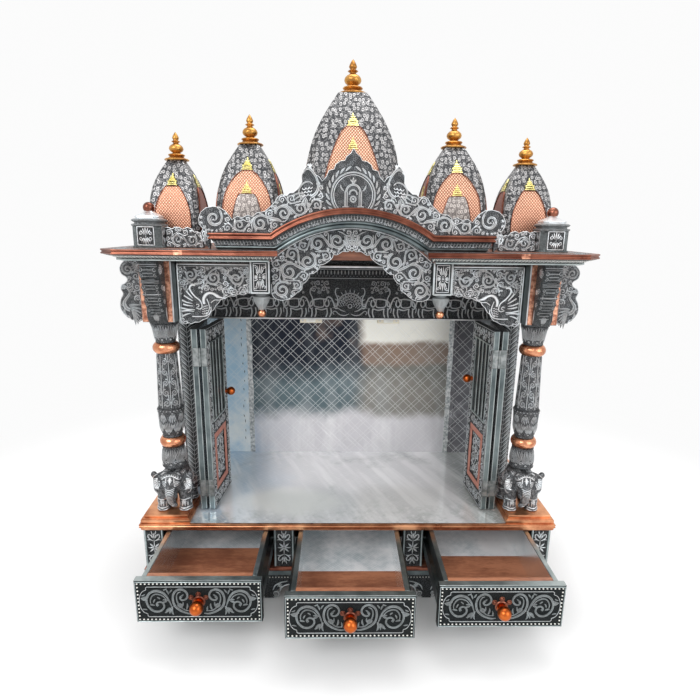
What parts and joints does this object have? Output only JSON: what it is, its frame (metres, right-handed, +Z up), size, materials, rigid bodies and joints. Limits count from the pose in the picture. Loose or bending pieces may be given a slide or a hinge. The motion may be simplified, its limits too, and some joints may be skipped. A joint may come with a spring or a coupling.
{
  "type": "pooja mandir",
  "caption": "Household shrine in embossed white metal over wood: plinth with drawers, porch on elephant pillars, folding doors, arched cornice and a row of domes.",
  "frame": {"origin": "on the floor, in the middle of the footprint with the drawers as far out as they stand at rest", "axes": "+Z up, +X to the right as one faces the shrine, +Y from the front to the back wall"},
  "size_m": [0.95, 0.619, 1.168],
  "materials": {
    "oxidised_sheet": "embossed oxidised white-metal sheet pressed over a wooden core, silver on the raised ornament",
    "copper_sheet": "polished copper-coloured sheet over a wooden moulding",
    "copper": "polished red copper colour",
    "golden": "golden metal skin over a turned core",
    "mirror_sheet": "bright sheet pressed with a fine lattice",
    "wood": "reddish-brown stained board",
    "steel": "plated steel",
    "cream_plastic": "cream moulded plastic with a steel strike face"
  },
  "bodies": {
    "mandir": {"plinth_front": "oxidised_sheet", "plinth_boards": "oxidised_sheet", "front_stiles": "oxidised_sheet", "pillars": "oxidised_sheet", "elephants": "oxidised_sheet", "porch_posts": "oxidised_sheet", "front_corbels": "oxidised_sheet", "side_brackets": "oxidised_sheet", "spandrels": "oxidised_sheet", "rosette_blocks": "oxidised_sheet", "arch_panel": "oxidised_sheet", "jamb_boards": "oxidised_sheet", "feather_columns": "oxidised_sheet", "lintel": "oxidised_sheet", "chajja": "oxidised_sheet", "hood": "oxidised_sheet", "crest": "oxidised_sheet", "side_crests": "oxidised_sheet", "roof_posts": "oxidised_sheet", "domes": "oxidised_sheet", "base_copper_strip": "copper_sheet", "deck_copper_edge": "copper_sheet", "pillar_blocks": "copper_sheet", "pillar_rings": "copper_sheet", "chajja_copper_edge": "copper_sheet", "hood_copper_edge": "copper_sheet", "pendants": "copper", "kalashes": "golden", "deck_sheet": "mirror_sheet", "back_sheet": "mirror_sheet", "cabinet_bottom": "wood", "cabinet_sides": "wood", "cabinet_back": "wood", "drawer_dividers": "wood", "deck": "wood", "side_walls": "wood", "back_wall": "wood", "roof_board": "wood", "cabinet_rails": "steel", "jamb_hinges": "steel", "magnetic_catches": "cream_plastic"},
    "drawer_left": {"drawer_box_left": "oxidised_sheet", "drawer_front_left": "oxidised_sheet", "drawer_knob_left": "copper"},
    "drawer_middle": {"drawer_box_middle": "oxidised_sheet", "drawer_front_middle": "oxidised_sheet", "drawer_knob_middle": "copper"},
    "drawer_right": {"drawer_box_right": "oxidised_sheet", "drawer_front_right": "oxidised_sheet", "drawer_knob_right": "copper"},
    "door_left_outer": {"door_outer_left": "oxidised_sheet", "door_outer_hinges_left": "steel"},
    "door_left_inner": {"door_inner_left": "oxidised_sheet", "door_inner_hinges_left": "steel", "door_knob_left": "copper"},
    "door_right_outer": {"door_outer_right": "oxidised_sheet", "door_outer_hinges_right": "steel"},
    "door_right_inner": {"door_inner_right": "oxidised_sheet", "door_inner_hinges_right": "steel", "door_knob_right": "copper"}
  },
  "joints": [
    {"name": "drawer_left_slide", "type": "slide", "parent": "mandir", "child": "drawer_left", "axis": [0, -1, 0], "range_m": [-0.168, 0.072]},
    {"name": "drawer_middle_slide", "type": "slide", "parent": "mandir", "child": "drawer_middle", "axis": [0, -1, 0], "range_m": [-0.21, 0.03]},
    {"name": "drawer_right_slide", "type": "slide", "parent": "mandir", "child": "drawer_right", "axis": [0, -1, 0], "range_m": [-0.183, 0.057]},
    {"name": "door_left_hinge", "type": "hinge", "parent": "mandir", "child": "door_left_outer", "pos_m": [-0.3485, 0.1027, 0.4], "axis": [0, 0, 1], "range_deg": [-4.5, 85.5]},
    {"name": "door_left_fold", "type": "hinge", "parent": "door_left_outer", "child": "door_left_inner", "pos_m": [-0.31999, -0.02245, 0.4], "axis": [0, 0, 1], "range_deg": [-171, 9]},
    {"name": "door_right_hinge", "type": "hinge", "parent": "mandir", "child": "door_right_outer", "pos_m": [0.3485, 0.1027, 0.4], "axis": [0, 0, -1], "range_deg": [-4.5, 85.5]},
    {"name": "door_right_fold", "type": "hinge", "parent": "door_right_outer", "child": "door_right_inner", "pos_m": [0.31999, -0.02245, 0.4], "axis": [0, 0, -1], "range_deg": [-171, 9]}
  ],
  "couplings": [
    {"joint": "door_left_fold", "follows": "door_left_hinge", "ratio": -2},
    {"joint": "door_right_fold", "follows": "door_right_hinge", "ratio": -2}
  ]
}
